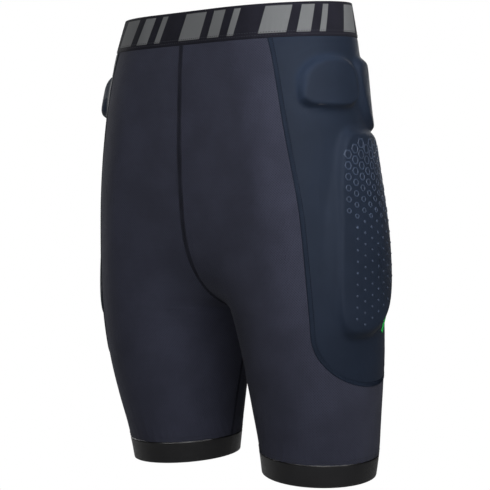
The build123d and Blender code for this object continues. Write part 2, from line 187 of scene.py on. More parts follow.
FORK_GAPS = (0.05, 0.3, 0.8, 1.6, 2.8, 4.5, 7, 10)
FORK_LEVELS = [CROTCH_Z + side * gap for gap in FORK_GAPS for side in (-1, 1)]
HEIGHTS = np.unique(np.r_[np.arange(-BODY_LENGTH - 4, CROTCH_Z - 11, 4), FORK_LEVELS, CROTCH_Z,
                          np.arange(CROTCH_Z + 12, 5, 4)])
OUTLINES = [outline(float(z)) for z in HEIGHTS]
FRONT_ENDS = np.array([lengths[0] for _, lengths in OUTLINES])
BACK_ENDS = np.array([lengths[-1] for _, lengths in OUTLINES])


def centre_front(z):
    return np.interp(z, HEIGHTS, FRONT_ENDS)


def centre_back(z):
    return np.interp(z, HEIGHTS, BACK_ENDS)


def level_points(row, s):
    """Points of one stored outline. Past a centre seam they mirror; past an inseam they go on."""
    xy, lengths = OUTLINES[row]
    low, high = lengths[0], lengths[-1]
    side = 1
    if HEIGHTS[row] < CROTCH_Z:
        s = low + np.mod(s - low, high - low)
    else:
        side = np.where((s < low) | (s > high), -1, 1)
        s = np.where(s < low, 2 * low - s, np.where(s > high, 2 * high - s, s))
    return np.column_stack([side * np.interp(s, lengths, xy[:, 0]), np.interp(s, lengths, xy[:, 1])])


def surface_point(z, s):
    """Points on the body surface, as an array with a last axis of x, y, z."""
    z, s = np.broadcast_arrays(np.asarray(z, float), np.asarray(s, float))
    flat_z, flat_s = z.ravel(), s.ravel()
    rows = np.clip(np.searchsorted(HEIGHTS, flat_z, side="right") - 1, 0, len(HEIGHTS) - 2)
    part = ((flat_z - HEIGHTS[rows]) / (HEIGHTS[rows + 1] - HEIGHTS[rows]))[:, None]
    order = np.argsort(rows, kind="stable")
    xy = np.empty((flat_z.size, 2))
    for here in np.split(order, np.flatnonzero(np.diff(rows[order])) + 1):
        row = rows[here[0]]
        below, above = level_points(row, flat_s[here]), level_points(row + 1, flat_s[here])
        xy[here] = below * (1 - part[here]) + above * part[here]
    leg_part = np.clip((CROTCH_Z - flat_z) / (CROTCH_Z + BODY_LENGTH), 0, None)
    waist_part = np.clip((flat_z - CROTCH_Z) / -CROTCH_Z, 0, None)**2
    hem_drop = HEM_TILT * ((np.abs(xy[:, 0]) - LEG_SPACING) - (xy[:, 1] - LEG_CENTRE_Y))
    lifted = flat_z - leg_part * hem_drop + waist_part * WAIST_TILT * xy[:, 1]
    return np.column_stack([xy, lifted]).reshape(z.shape + (3,))


def unit(vectors):
    return vectors / np.maximum(np.linalg.norm(vectors, axis=-1, keepdims=True), 1e-9)


def surface_frame(z, s, step=0.9):
    """Points and outward normals."""
    up = surface_point(z + step, s) - surface_point(z - step, s)
    backward = surface_point(z, s + step) - surface_point(z, s - step)
    return surface_point(z, s), unit(np.cross(backward, up))


# ---- meshes

class Form:
    """The vertices, faces and cloth coordinates of one piece, in millimetres."""

    def __init__(self):
        self.points = []
        self.cloth = []
        self.faces = []
        self.count = 0

    def add(self, points, cloth, faces):
        self.points.append(points.reshape(-1, 3))
        self.cloth.append(cloth.reshape(-1, 2))
        self.faces.extend((np.asarray(face) + self.count).tolist() for face in faces)
        self.count += self.points[-1].shape[0]
        return self

    def extend(self, other):
        for points, cloth in zip(other.points, other.cloth):
            self.points.append(points)
            self.cloth.append(cloth)
        self.faces.extend([[[i + self.count for i in face] for face in group] for group in other.faces])
        self.count += other.count
        return self


def full_turn(steps):
    return np.linspace(0, 2 * math.pi, steps, endpoint=False)


def grid_quads(rows, columns, wrap=False, flip=False, wrap_rows=False):
    """Quads of a grid of vertices; wrap joins the last column to the first."""
    index = np.arange(rows * columns).reshape(rows, columns)
    if wrap_rows:
        index = np.vstack([index, index[:1]])
    if wrap:
        index = np.column_stack([index, index[:, :1]])
    corners = [index[:-1, :-1], index[:-1, 1:], index[1:, 1:], index[1:, :-1]]
    quads = np.stack([corner.ravel() for corner in corners], axis=1)
    return quads[:, ::-1] if flip else quads


def cloth_solid(z, s, inner, outer, wrap=False, cloth=None):
    """A closed sheet over a grid of places, between two heights above the body surface."""
    points, normals = surface_frame(z, s)
    rows, columns = z.shape
    inner, outer = np.broadcast_to(inner, z.shape), np.broadcast_to(outer, z.shape)
    outside = points + normals * outer[..., None]
    inside = points + normals * inner[..., None]
    size = rows * columns
    outer_index = np.arange(size).reshape(rows, columns)
    inner_index = outer_index + size
    faces = [grid_quads(rows, columns, wrap), grid_quads(rows, columns, wrap, True) + size]
    edges = [(outer_index[0], inner_index[0]), (inner_index[-1], outer_index[-1])]
    if wrap:
        edges = [(np.r_[a, a[:1]], np.r_[b, b[:1]]) for a, b in edges]
    else:
        edges += [(inner_index[:, 0], outer_index[:, 0]), (outer_index[:, -1], inner_index[:, -1])]
    for first, second in edges:
        faces.append(np.stack([first[1:], first[:-1], second[:-1], second[1:]], axis=1))
    flat = np.stack([s, z] if cloth is None else cloth, axis=-1)
    return Form().add(np.stack([outside, inside]), np.stack([flat, flat]), faces)


def sweep(points, across, normals, profile, closed=False):
    """A solid swept along a line; the profile lists (across, up) round its section."""
    profile = np.asarray(profile, float)
    rows, columns = len(points), len(profile)
    shape = (points[:, None] + across[:, None] * profile[None, :, :1]
             + normals[:, None] * profile[None, :, 1:])
    along = np.r_[0, np.cumsum(np.linalg.norm(np.diff(points, axis=0), axis=1))]
    round_section = np.r_[0, np.cumsum(np.linalg.norm(np.diff(profile, axis=0), axis=1))]
    cloth = np.stack(np.meshgrid(round_section, along), axis=-1)
    quads = grid_quads(rows, columns, wrap=True, wrap_rows=closed)
    caps = [np.arange(columns)[None, ::-1], np.arange(columns)[None] + (rows - 1) * columns]
    return Form().add(shape, cloth, [quads] if closed else [quads, *caps])


def circle(radius, sides):
    turns = full_turn(sides)
    return np.column_stack([np.cos(turns), np.sin(turns)]) * radius


class Line:
    """A line on the garment with even steps: points, tangents, normals and directions across."""

    def __init__(self, z, s, step, height=0.0, closed=False):
        z, s = np.asarray(z, float), np.asarray(s, float)
        raw = surface_point(z, s)
        lengths = np.r_[0, np.cumsum(np.linalg.norm(np.diff(raw, axis=0), axis=1))]
        count = max(2, int(round(lengths[-1] / step)) + 1)
        at = np.linspace(0, lengths[-1], count)
        if closed:
            at = at[:-1]
        self.z, self.s = np.interp(at, lengths, z), np.interp(at, lengths, s)
        self.points, self.normals = surface_frame(self.z, self.s)
        self.points = self.points + self.normals * height
        self.closed = closed
        self.tangents = tangents(self.points, closed)
        self.across = unit(np.cross(self.tangents, self.normals))


def tangents(points, closed=False):
    if closed:
        return unit(np.roll(points, -1, axis=0) - np.roll(points, 1, axis=0))
    return unit(np.gradient(points, axis=0))


def stitches(points, along, normals, length, width, height):
    """Half-buried stitches: small domes with their long side along the line."""
    across = unit(np.cross(along, normals))
    turns = full_turn(8)
    rings = [(1.0, 0.0), (0.82, 0.6), (0.45, 0.92)]
    dome = [(r * math.cos(t), r * math.sin(t), up) for r, up in rings for t in turns] + [(0, 0, 1.0)]
    dome = np.array(dome) * (length / 2, width / 2, height)
    quads = np.concatenate([grid_quads(2, 8, wrap=True) + ring * 8 for ring in range(2)])
    top = np.array([(16 + i, 16 + (i + 1) % 8, 24) for i in range(8)])
    base = np.arange(8)[None, ::-1]
    vertices = (points[:, None] + along[:, None] * dome[None, :, :1] - across[:, None] * dome[None, :, 1:2]
                + normals[:, None] * dome[None, :, 2:])
    shift = (np.arange(len(points)) * len(dome))[:, None, None]
    faces = [(group[None] + shift).reshape(-1, group.shape[1]) for group in (quads, top, base)]
    return Form().add(vertices, np.zeros(vertices.shape[:2] + (2,)), faces)


def new_mesh(name, points, faces):
    mesh = bpy.data.meshes.new(name)
    mesh.from_pydata(points, [], faces)
    return mesh


def new_object(name, data):
    made = bpy.data.objects.new(name, data)
    bpy.context.scene.collection.objects.link(made)
    return made


def make_piece(name, form, material, node, mirrored=False):
    """One object, riding on the body, that stands for a CAD node."""
    points = np.concatenate(form.points) * MM
    if mirrored:
        points = points * (-1, 1, 1)
    faces = [face[::-1] if mirrored else face for group in form.faces for face in group]
    mesh = new_mesh(name, points.tolist(), faces)
    mesh.shade_smooth()
    mesh.set_sharp_from_angle(angle=math.radians(48))
    cloth = np.concatenate(form.cloth) * MM
    corners = np.empty(len(mesh.loops), int)
    mesh.loops.foreach_get("vertex_index", corners)
    layer = mesh.uv_layers.new(name="cloth")
    layer.data.foreach_set("uv", cloth[corners].ravel())
    mesh.materials.append(material)
    piece = new_object(name, mesh)
    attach(piece, "root")
    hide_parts(node)
    return piece


def make_pair(name, form, material, node):
    """The left piece and its mirror image on the right."""
    return [make_piece(f"{name}_{side}", form, material, f"{node}_{side}", side == "right")
            for side in ("left", "right")]


# ---- materials

class Shader:
    """A material built from nodes round one Principled BSDF."""

    def __init__(self, name, roughness, specular=0.3, sheen=0.0, sheen_roughness=0.5):
        self.material = bpy.data.materials.new(name)
        self.material.use_nodes = True
        self.tree = self.material.node_tree
        self.bsdf = self.tree.nodes["Principled BSDF"]
        for socket, value in (("Roughness", roughness), ("Specular IOR Level", specular),
                              ("Sheen Weight", sheen), ("Sheen Roughness", sheen_roughness)):
            self.bsdf.inputs[socket].default_value = value
        coordinates = self.node("ShaderNodeUVMap")
        coordinates.uv_map = "cloth"
        millimetres = self.node("ShaderNodeVectorMath", (coordinates.outputs[0], (1000, 1000, 1000)))
        millimetres.operation = "MULTIPLY"
        split = self.node("ShaderNodeSeparateXYZ", (millimetres.outputs[0],))
        self.u, self.v = split.outputs[0], split.outputs[1]
        self.place = self.node("ShaderNodeTexCoord").outputs["Object"]

    def node(self, kind, inputs=()):
        made = self.tree.nodes.new(kind)
        for socket, value in zip(made.inputs, inputs):
            self.feed(socket, value)
        return made

    def feed(self, socket, value):
        if isinstance(value, bpy.types.NodeSocket):
            self.tree.links.new(value, socket)
        elif value is not None:
            socket.default_value = value

    def math(self, operation, *values):
        made = self.node("ShaderNodeMath", values)
        made.operation = operation
        return made.outputs[0]

    def wave(self, coordinate, period, shift=0.0):
        """A sine from 0 to 1 along a coordinate in millimetres."""
        angle = self.math("MULTIPLY_ADD", coordinate, 2 * math.pi / period, shift)
        return self.math("MULTIPLY_ADD", self.math("SINE", angle), 0.5, 0.5)

    def step(self, value, low, high):
        """A smooth step from 0 at low to 1 at high."""
        made = self.node("ShaderNodeMapRange", (value, low, high, 0.0, 1.0))
        made.interpolation_type = "SMOOTHSTEP"
        return made.outputs[0]

    def between(self, value, low, high):
        """1 from low to high in millimetres and 0 outside, with soft edges."""
        rising = self.step(value, low - 0.35, low + 0.35)
        return self.math("MULTIPLY", rising, self.step(value, high + 0.35, high - 0.35))

    def noise(self, scale, detail=2.0, rough=0.5):
        """Soft variation over the object; scale is in lumps per metre."""
        made = self.node("ShaderNodeTexNoise", (self.place, None, scale, detail, rough))
        return made.outputs[0]

    def mix(self, part, first, second):
        made = self.tree.nodes.new("ShaderNodeMix")
        made.data_type = "RGBA"
        for socket, value in zip((made.inputs[0], made.inputs[6], made.inputs[7]), (part, first, second)):
            self.feed(socket, value)
        return made.outputs[2]

    def colour(self, value):
        self.feed(self.bsdf.inputs["Base Color"], value)

    def mottled(self, colour, scale, dark, light, low=0.3):
        """A colour with soft lumps of a darker and a lighter tone."""
        tone = self.step(self.noise(scale, 3), low, 1 - low)
        return self.mix(tone, shade(colour, dark), shade(colour, light))

    def weave(self, first, second):
        return self.math("MULTIPLY", self.wave(self.u, first), self.wave(self.v, second))

    def bump(self, height, depth_mm, strength=1.0):
        made = self.node("ShaderNodeBump")
        self.feed(made.inputs["Strength"], strength)
        self.feed(made.inputs["Distance"], depth_mm * MM)
        self.feed(made.inputs["Height"], height)
        self.tree.links.new(made.outputs[0], self.bsdf.inputs["Normal"])


def shade(colour, factor):
    return tuple(channel * factor for channel in colour) + (1.0,)


KNIT = (0.0355, 0.0380, 0.0590)
SIDE = (0.0118, 0.0178, 0.0318)
BAND = (0.0105, 0.0105, 0.0165)
BAND_GREY = (0.145, 0.15, 0.155)
HEM = (0.0055, 0.0055, 0.0065)
TAPE = (0.0165, 0.0175, 0.0270)
SIDE_TAPE = (0.0140, 0.0206, 0.0360)
GREEN = (0.03, 0.60, 0.10)


def mesh_knit():
    """Fine mesh knit: a diagonal lattice of small holes over knitted wales."""
    shader = Shader("mesh_knit", 0.85, 0.1, 0.04)
    rising = shader.math("ADD", shader.u, shader.v)
    falling = shader.math("SUBTRACT", shader.u, shader.v)
    lattice = shader.math("MULTIPLY", shader.wave(rising, 3.0), shader.wave(falling, 3.0))
    hole = shader.step(lattice, 0.35, 0.85)
    wales = shader.wave(shader.u, 0.9)
    ground = shader.mottled(KNIT, 26, 0.9, 1.12)
    shader.colour(shader.mix(hole, ground, shade(KNIT, 0.5)))
    height = shader.math("SUBTRACT", shader.math("MULTIPLY", wales, 0.35), hole)
    shader.bump(height, 0.35, 0.8)
    return shader.material


def smooth_jersey():
    """Smooth elastic jersey: very fine wales with a soft sheen, and a painted highlight on the pads' edges
    that face the light.
    """
    shader = Shader("smooth_jersey", 0.6, 0.11, 0.03, 0.4)
    wales = shader.wave(shader.u, 0.7)
    courses = shader.wave(shader.v, 0.55)
    plain_jersey_tone = shader.mottled(SIDE, 18, 0.92, 1.1)
    # Painted highlight: where this attribute is set, on the pad edges that face up and forward, the cloth
    # is mixed towards a colour 2.2 times as light.
    painted_highlight = shader.node("ShaderNodeAttribute")
    painted_highlight.attribute_name = "painted_highlight"
    shader.colour(shader.mix(painted_highlight.outputs["Fac"], plain_jersey_tone, shade(SIDE, 2.2)))
    shader.bump(shader.math("MULTIPLY_ADD", courses, 0.4, wales), 0.12, 0.6)
    return shader.material


def raised_print():
    """The lighter rims and dots of the thigh cells."""
    shader = Shader("cell_rims", 0.5, 0.4, 0.05)
    shader.colour(shader.mottled(SIDE, 60, 2.0, 2.8))
    shader.bump(shader.noise(900, 2), 0.1, 0.4)
    return shader.material


def band_elastic():
    """Ribbed jacquard elastic with a plain row of slanted bars in light grey."""
    shader = Shader("waistband_elastic", 0.8, 0.1, 0.03)
    ribs = shader.wave(shader.u, 1.3)
    picks = shader.wave(shader.v, 0.8)
    tile, slant = 104.0, 0.28
    leaning = shader.math("MULTIPLY_ADD", shader.v, -slant, shader.u)
    along = shader.math("MULTIPLY", shader.math("FRACT", shader.math("DIVIDE", leaning, tile)), tile)
    figure = None
    start = 5.0
    for width in (30.0, 16.0, 8.0):
        bar = shader.between(along, start, start + width)
        figure = bar if figure is None else shader.math("MAXIMUM", figure, bar)
        start += width + 11.0
    figure = shader.math("MULTIPLY", figure, shader.between(shader.v, -34.85, -3.55))
    ground = shader.mottled(BAND, 40, 0.85, 1.2, 0.25)
    light = shader.mix(shader.math("MULTIPLY", ribs, 0.3), shade(BAND_GREY, 1.0), shade(BAND_GREY, 0.72))
    shader.colour(shader.mix(figure, ground, light))
    height = shader.math("ADD", shader.math("MULTIPLY_ADD", picks, 0.35, ribs), figure)
    shader.bump(height, 0.22, 0.7)
    return shader.material


def satin_elastic():
    """Near-black satin hem elastic."""
    shader = Shader("hem_elastic", 0.25, 0.7, 0.0)
    ribs = shader.wave(shader.u, 0.8)
    picks = shader.wave(shader.v, 1.1)
    shader.colour(shader.mottled(HEM, 30, 0.9, 1.3))
    shader.bump(shader.math("MULTIPLY_ADD", picks, 0.5, ribs), 0.12, 0.6)
    return shader.material


def plain_cloth(name, colour, roughness, grain=0.8):
    """A tape, thread or label with a fine woven grain."""
    shader = Shader(name, roughness, 0.1, 0.02)
    weave = shader.weave(grain, grain)
    ground = shader.mottled(colour, 45, 0.85, 1.15)
    shader.colour(shader.mix(shader.math("MULTIPLY", weave, 0.35), ground, shade(colour, 0.6)))
    shader.bump(weave, 0.12, 0.6)
    return shader.material


def side_seam_tape():
    """Tape in the side panel's colour, with painted shade along its two edges, where the gap beside it
    lies in shadow.
    """
    shader = Shader("side_seam_tape", 0.75, 0.08)
    # Painted shade: the tape is darkened to 0.45 of its colour in bands along both edges.
    gap = shader.math("MAXIMUM", shader.step(shader.u, 0.9, 0.6), shader.step(shader.u, 5.2, 5.5))
    ground = shader.mottled(SIDE_TAPE, 45, 0.9, 1.1)
    shader.colour(shader.mix(gap, ground, shade(SIDE_TAPE, 0.45)))
    shader.bump(shader.weave(0.8, 0.8), 0.12, 0.6)
    return shader.material


def lining_mesh():
    """Open mesh lining: round dark holes in straight rows."""
    shader = Shader("lining_mesh", 0.85, 0.2)
    hole = shader.step(shader.weave(2.2, 2.2), 0.3, 0.6)
    shader.colour(shader.mix(hole, (0.03, 0.03, 0.033, 1.0), (0.006, 0.006, 0.007, 1.0)))
    shader.bump(shader.math("SUBTRACT", 1.0, hole), 0.3, 0.8)
    return shader.material


def foam():
    """Closed-cell foam with a fine moulded grain."""
    shader = Shader("pad_foam", 0.7, 0.3)
    tone = shader.step(shader.noise(30, 3), 0.3, 0.7)
    shader.colour(shader.mix(tone, (0.045, 0.047, 0.052, 1.0), (0.06, 0.062, 0.068, 1.0)))
    shader.bump(shader.noise(1400, 3, 0.6), 0.2, 0.5)
    return shader.material


def silicone():
    """Printed silicone grip tape."""
    shader = Shader("silicone", 0.35, 0.5)
    beads = shader.weave(5, 5)
    printed = shader.step(beads, 0.4, 0.6)
    shader.colour(shader.mix(printed, (0.012, 0.012, 0.013, 1.0), (0.03, 0.03, 0.034, 1.0)))
    shader.bump(beads, 0.6, 0.8)
    return shader.material


MATERIALS = {
    "knit": mesh_knit(),
    "jersey": smooth_jersey(),
    "rims": raised_print(),
    "band": band_elastic(),
    "hem": satin_elastic(),
    "tape": plain_cloth("seam_tape", TAPE, 0.8),
    "side_tape": side_seam_tape(),
    "thread": plain_cloth("thread", (0.03, 0.031, 0.04), 0.6, 0.5),
    "accent": plain_cloth("accent_tape", GREEN, 0.6, 0.9),
    "label": plain_cloth("label_tape", (0.32, 0.32, 0.33), 0.5, 0.5),
    "lining": lining_mesh(),
    "foam": foam(),
    "silicone": silicone(),
}


# ---- pads and their covers

def side_scale(z):
    bottom = np.clip((SIDE_ROUND_START - z) / SIDE_ROUND_DEPTH, 0, 1)
    return np.sqrt(1 - bottom**2)


def side_front(z):
    flare = np.clip((z - FRONT_FLARE_START) / (BAND_BOTTOM - FRONT_FLARE_START), 0, 1)
    return SIDE_CENTRE - (SIDE_FRONT + FRONT_FLARE * flare**FRONT_FLARE_POWER) * side_scale(z)


def side_rear(z):
    return SIDE_CENTRE + SIDE_REAR * side_scale(z)


@dataclass
class PadShape:
    """Four quarters of super-ellipses round a leaning centre line, with a rounded edge."""

    centre_s: float
    centre_z: float
    front: float
    rear: float
    up: float
    down: float
    front_powers: tuple
    rear_powers: tuple
    thickness: object
    lean: float = 0.0
    edge: float = 6.0
    low_edge: float = 0.0

    def centre(self, z):
        return self.centre_s + self.lean * (z - self.centre_z)

    def power(self, above, behind):
        return np.where(behind, np.where(above, *self.rear_powers), np.where(above, *self.front_powers))

    def radius(self, z, s):
        """0 at the centre and 1 on the outline."""
        above, behind = z >= self.centre_z, s >= self.centre(z)
        power = self.power(above, behind)
        across = np.abs(s - self.centre(z)) / np.where(behind, self.rear, self.front)
        along = np.abs(z - self.centre_z) / np.where(above, self.up, self.down)
        return (across**power + along**power)**(1 / power)

    def top(self, z, s):
        """The height of the pad's upper face, 0 outside it."""
        inward = (1 - self.radius(z, s)) * min(self.front, self.rear, self.up, self.down)
        below = np.clip(self.centre_z - z, 0, None) / self.down
        low_edge = self.low_edge or self.edge
        edge = self.edge + (low_edge - self.edge) * np.clip(below * 1.6, 0, 1)
        rounded = 1 - np.clip(inward / edge, 0, 1)
        return np.where(inward > 0, self.thickness(z, s) * (1 - rounded**1.6), 0)

    def outline(self, turns):
        """(z, s) places on the outline."""
        up, back = np.sin(turns), np.cos(turns)
        above, behind = up >= 0, back >= 0
        power = 2 / self.power(above, behind)
        z = self.centre_z + np.sign(up) * np.where(above, self.up, self.down) * np.abs(up)**power
        half_width = np.where(behind, self.rear, self.front)
        return z, self.centre(z) + half_width * np.sign(back) * np.abs(back)**power


def even(thickness):
    return lambda z, s: thickness


def thigh_top(z, s):
    """The thigh pad is thickest a little behind the side line."""
    return 4.5 + 6 * np.exp(-((s - 32) / 48)**2 - ((z + 265) / 85)**2)


def cell_top(z, s):
    return thigh_top(z, s) + 3.5


HIP = PadShape(-27, -92, 44, 44, 31, 29, (2.1, 3.6), (2.2, 3.0), even(8.8), edge=8, low_edge=3)
REAR = PadShape(52, -104, 33, 33, 42, 44, (2.6, 2.2), (2.6, 2.2), even(8.2), lean=-0.5, edge=6)
THIGH = PadShape(-7, -290, 51, 98, 147, 87, (2, 2.3), (3.5, 2.1), thigh_top, lean=0.1, edge=16)
CELLS = PadShape(-7, -262, 32, 88, 121, 113, (4.2, 4), (4.5, 2.1), cell_top, lean=0.12, edge=3)
TAILBONE = PadShape(0, -112, 34, 34, 56, 60, (2, 2), (2, 2), even(8.3), edge=7)
FIELD_STEP = 1.0
LOOSEST = 0.5


class CoverField:
    """Height of a cover over its pads: a stretched sheet that clings to what is under it."""

    def __init__(self, z, s, pads, inside, cling=0.965, rounds=300):
        self.z, self.s = z, s
        grid_z, grid_s = np.meshgrid(z, s, indexing="ij")
        solid = np.max([pad.top(grid_z, grid_s) for pad in pads], axis=0)
        free = inside(grid_z, grid_s)
        height = solid * free
        for _ in range(rounds):
            height = np.maximum(solid, self.neighbours(height) * cling) * free
        self.solid, self.free = solid, free
        self.height = self.smoothed(height, 4)

    def take(self, levels, simulated):
        """Takes a simulated cloth's heights, given on level rows, up to LOOSEST above the field."""
        parts = np.linspace(0, 1, simulated.shape[1])
        rows = np.interp(self.z, levels, np.arange(len(levels)))
        low = np.clip(rows.astype(int), 0, len(levels) - 2)
        share = (rows - low)[:, None]
        level = simulated[low] * (1 - share) + simulated[low + 1] * share
        front, rear = side_front(self.z), side_rear(self.z)
        width = np.maximum(rear - front, 1)
        height = np.array([np.interp((self.s - start) / across, parts, row)
                           for start, across, row in zip(front, width, level)])
        height = np.maximum(self.solid, np.clip(height, 0, self.height + LOOSEST)) * self.free
        self.height = self.smoothed(height, 3)

    def smoothed(self, height, rounds):
        for _ in range(rounds):
            height = (0.4 * height + 0.6 * self.neighbours(height)) * self.free
        return height

    @staticmethod
    def neighbours(height):
        return (np.roll(height, 1, 0) + np.roll(height, -1, 0)
                + np.roll(height, 1, 1) + np.roll(height, -1, 1)) / 4

    def at(self, z, s):
        """The height at any places, by bilinear interpolation."""
        row = np.clip((z - self.z[0]) / (self.z[1] - self.z[0]), 0, len(self.z) - 1.001)
        column = np.clip((s - self.s[0]) / (self.s[1] - self.s[0]), 0, len(self.s) - 1.001)
        i, j = row.astype(int), column.astype(int)
        a, b = row - i, column - j
        low = self.height[i, j] * (1 - b) + self.height[i, j + 1] * b
        high = self.height[i + 1, j] * (1 - b) + self.height[i + 1, j + 1] * b
        return low * (1 - a) + high * a


def inside_side_panel(z, s):
    low = SIDE_ROUND_START - SIDE_ROUND_DEPTH
    return (z > low) & (z < BAND_BOTTOM) & (s > side_front(z) + 2) & (s < side_rear(z) - 2)


COVERED_PADS = [HIP, REAR, THIGH, CELLS]
SIDE_FIELD = CoverField(np.arange(-432, -34, FIELD_STEP), np.arange(-102, 128, FIELD_STEP),
                        COVERED_PADS, inside_side_panel)
CLOTH_SCALE = 10.0
CLOTH_FRAMES = 30
CLOTH_SETTINGS = {
    "quality": 6, "mass": 0.2, "tension_stiffness": 20, "compression_stiffness": 20,
    "shear_stiffness": 12, "bending_stiffness": 0.6, "air_damping": 3, "shrink_min": 0.05,
    "vertex_group_mass": "border",
}


def ripples(z, s, size):
    """Slow, shallow unevenness of worn fabric."""
    slow = np.sin(z / 31 + 1.7 * np.sin(s / 47)) * np.sin(s / 29 + 0.9 * np.sin(z / 53))
    quick = np.sin(z / 11.5 + 2.1 * np.sin(s / 23)) * np.sin(s / 17 - z / 41)
    return size * (0.7 * slow + 0.3 * quick)


# ---- panels

def fan(first_line, second_line, columns):
    """A grid of places between two lines of (z, s) places."""
    first, second = np.array(first_line), np.array(second_line)
    part = np.linspace(0, 1, columns)[None, :, None]
    places = first[:, None] * (1 - part) + second[:, None] * part
    return places[..., 0], places[..., 1]


COVER_GRID = (262, 164)


def side_bottom(turns):
    half_width = np.where(turns < 0, SIDE_FRONT, SIDE_REAR)
    return np.column_stack([SIDE_ROUND_START - SIDE_ROUND_DEPTH * np.cos(turns),
                            SIDE_CENTRE + half_width * np.sin(turns)])


def panel_lines(seam_top, last_turn, edge, centre):
    """A panel's line on the leg seam and side panel, and its line on the centre seams."""
    gaps = np.array([0, 0.3, 1.2, 3, 6, 10, 16, 24])
    low = np.linspace(HEM_TOP, seam_top, 26)
    middle = np.linspace(seam_top, CROTCH_Z - gaps[-1], 40)[1:]
    fork = np.r_[CROTCH_Z - gaps[:-1][::-1], CROTCH_Z + gaps[1:]]
    high = np.linspace(CROTCH_Z + gaps[-1], BAND_BOTTOM, 90)[1:]
    seam = leg_seam_line(len(low))
    bottom = side_bottom(np.linspace(LEG_SEAM_TURN, last_turn, len(middle) + 1)[1:])
    upper = np.r_[fork, high]
    edge_z = np.interp(upper, (upper[0], upper[-1]), (SIDE_ROUND_START, BAND_BOTTOM))
    outer = np.vstack([seam, bottom, np.column_stack([edge_z, edge(edge_z)])])
    levels = np.r_[low, middle, fork, high]
    return outer, np.column_stack([levels, centre(levels)])


def leg_seam_line(rows):
    top = side_bottom(np.array([LEG_SEAM_TURN]))[0]
    return np.linspace((HEM_TOP, LEG_SEAM_HEM_S), top, rows)


def panel(first_line, second_line, lined=False):
    """A knit panel; over the lining it stands a little higher, and above the hem it puckers."""
    z, s = fan(first_line, second_line, 150)
    outer = ripples(z, s, 0.35)
    outer = outer + 0.3 * np.exp((HEM_TOP - z) / 22) * np.sin(s / 1.55 + 2 * np.sin(z / 19))
    if lined:
        outer = outer + 0.14 * np.clip((z - LINING_BOTTOM) / 2 + 0.5, 0, 1)
    return cloth_solid(z, s, outer - FABRIC, outer)


def front_panel():
    outer, centre = panel_lines(-478, math.radians(-86), side_front, centre_front)
    return panel(centre, outer, lined=True)


def back_panel():
    outer, centre = panel_lines(-430, math.radians(86), side_rear, centre_back)
    return panel(outer, centre)


def side_grid(rows, columns, low_turn=89.0):
    """Level rows across the side panel, closer together round its bottom."""
    turns = np.radians(np.linspace(low_turn, 0, 34, endpoint=False))
    low = SIDE_ROUND_START - SIDE_ROUND_DEPTH * np.sin(turns)
    levels = np.r_[low, np.linspace(SIDE_ROUND_START, BAND_BOTTOM, rows)]
    part = np.linspace(0, 1, columns)[None]
    front, rear = side_front(levels)[:, None], side_rear(levels)[:, None]
    return np.broadcast_to(levels[:, None], (len(levels), columns)), front * (1 - part) + rear * part


def grid_mesh(name, places):
    """A plain grid of quads, made large enough for the cloth solver."""
    vertices = places.reshape(-1, 3) * MM * CLOTH_SCALE
    return new_object(name, new_mesh(name, vertices.tolist(), grid_quads(*places.shape[:2]).tolist()))


def simulate_cover():
    """Shrinks a pinned cloth on to the pads; the side cover takes its heights, within bounds."""
    z, s = side_grid(100, 70)
    points, normals = surface_frame(z, s)
    border = np.ones(z.shape, bool)
    border[1:-1, 1:-1] = False
    start = np.where(border, 0, SIDE_FIELD.at(z, s) + 1.2)
    cloth = grid_mesh("cover_cloth", points + normals * start[..., None])
    pinned = cloth.vertex_groups.new(name="border")
    pinned.add(np.flatnonzero(border.ravel()).tolist(), 1.0, "REPLACE")
    form_z, form_s = side_grid(190, 130)
    form_points, form_normals = surface_frame(form_z, form_s)
    solid = np.max([pad.top(form_z, form_s) for pad in COVERED_PADS], axis=0) - 0.7
    body = grid_mesh("pad_form", form_points + form_normals * solid[..., None])
    body.modifiers.new("collision", "COLLISION")
    body.collision.thickness_outer = 0.4 * MM * CLOTH_SCALE
    body.collision.cloth_friction = 4.0

    sheet = cloth.modifiers.new("cloth", "CLOTH")
    for setting, value in CLOTH_SETTINGS.items():
        setattr(sheet.settings, setting, value)
    sheet.settings.effector_weights.gravity = 0
    sheet.collision_settings.distance_min = 0.6 * MM * CLOTH_SCALE
    sheet.collision_settings.collision_quality = 3
    sheet.collision_settings.use_self_collision = False
    sheet.point_cache.frame_start = 1
    sheet.point_cache.frame_end = CLOTH_FRAMES
    for frame_number in range(1, CLOTH_FRAMES + 1):
        bpy.context.scene.frame_set(frame_number)
    evaluated = cloth.evaluated_get(bpy.context.evaluated_depsgraph_get())
    settled = np.empty(z.size * 3, np.float32)
    evaluated.data.vertices.foreach_get("co", settled)
    height = np.sum((settled.reshape(points.shape) / (MM * CLOTH_SCALE) - points) * normals, axis=-1)
    for made in (cloth, body):
        bpy.data.objects.remove(made)
    bpy.context.scene.frame_set(1)
    SIDE_FIELD.take(z[:, 0], height)


def paint_pad_edge_highlight(piece):
    """Paints a highlight: paler colour on the cloth that turns over the pads' front and upper edges, the
    slopes that face the light.
    """
    z, s = side_grid(*COVER_GRID)
    slope_up = (SIDE_FIELD.at(z + 1, s) - SIDE_FIELD.at(z - 1, s)) / 2
    slope_back = (SIDE_FIELD.at(z, s + 1) - SIDE_FIELD.at(z, s - 1)) / 2
    on_dome = (z > HIP.centre_z - HIP.down) & (s < HIP.centre_s + HIP.rear - 8)
    # Painted highlight: strongest on slopes that face forward and up, full on the hip dome and a quarter
    # as strong elsewhere.
    highlight_amount = np.clip(0.75 * slope_back - 0.55 * slope_up, 0, 0.6) * np.where(on_dome, 1, 0.25)
    layer = piece.data.attributes.new("painted_highlight", "FLOAT", "POINT")
    layer.data.foreach_set("value", np.concatenate([highlight_amount.ravel(), highlight_amount.ravel()]))


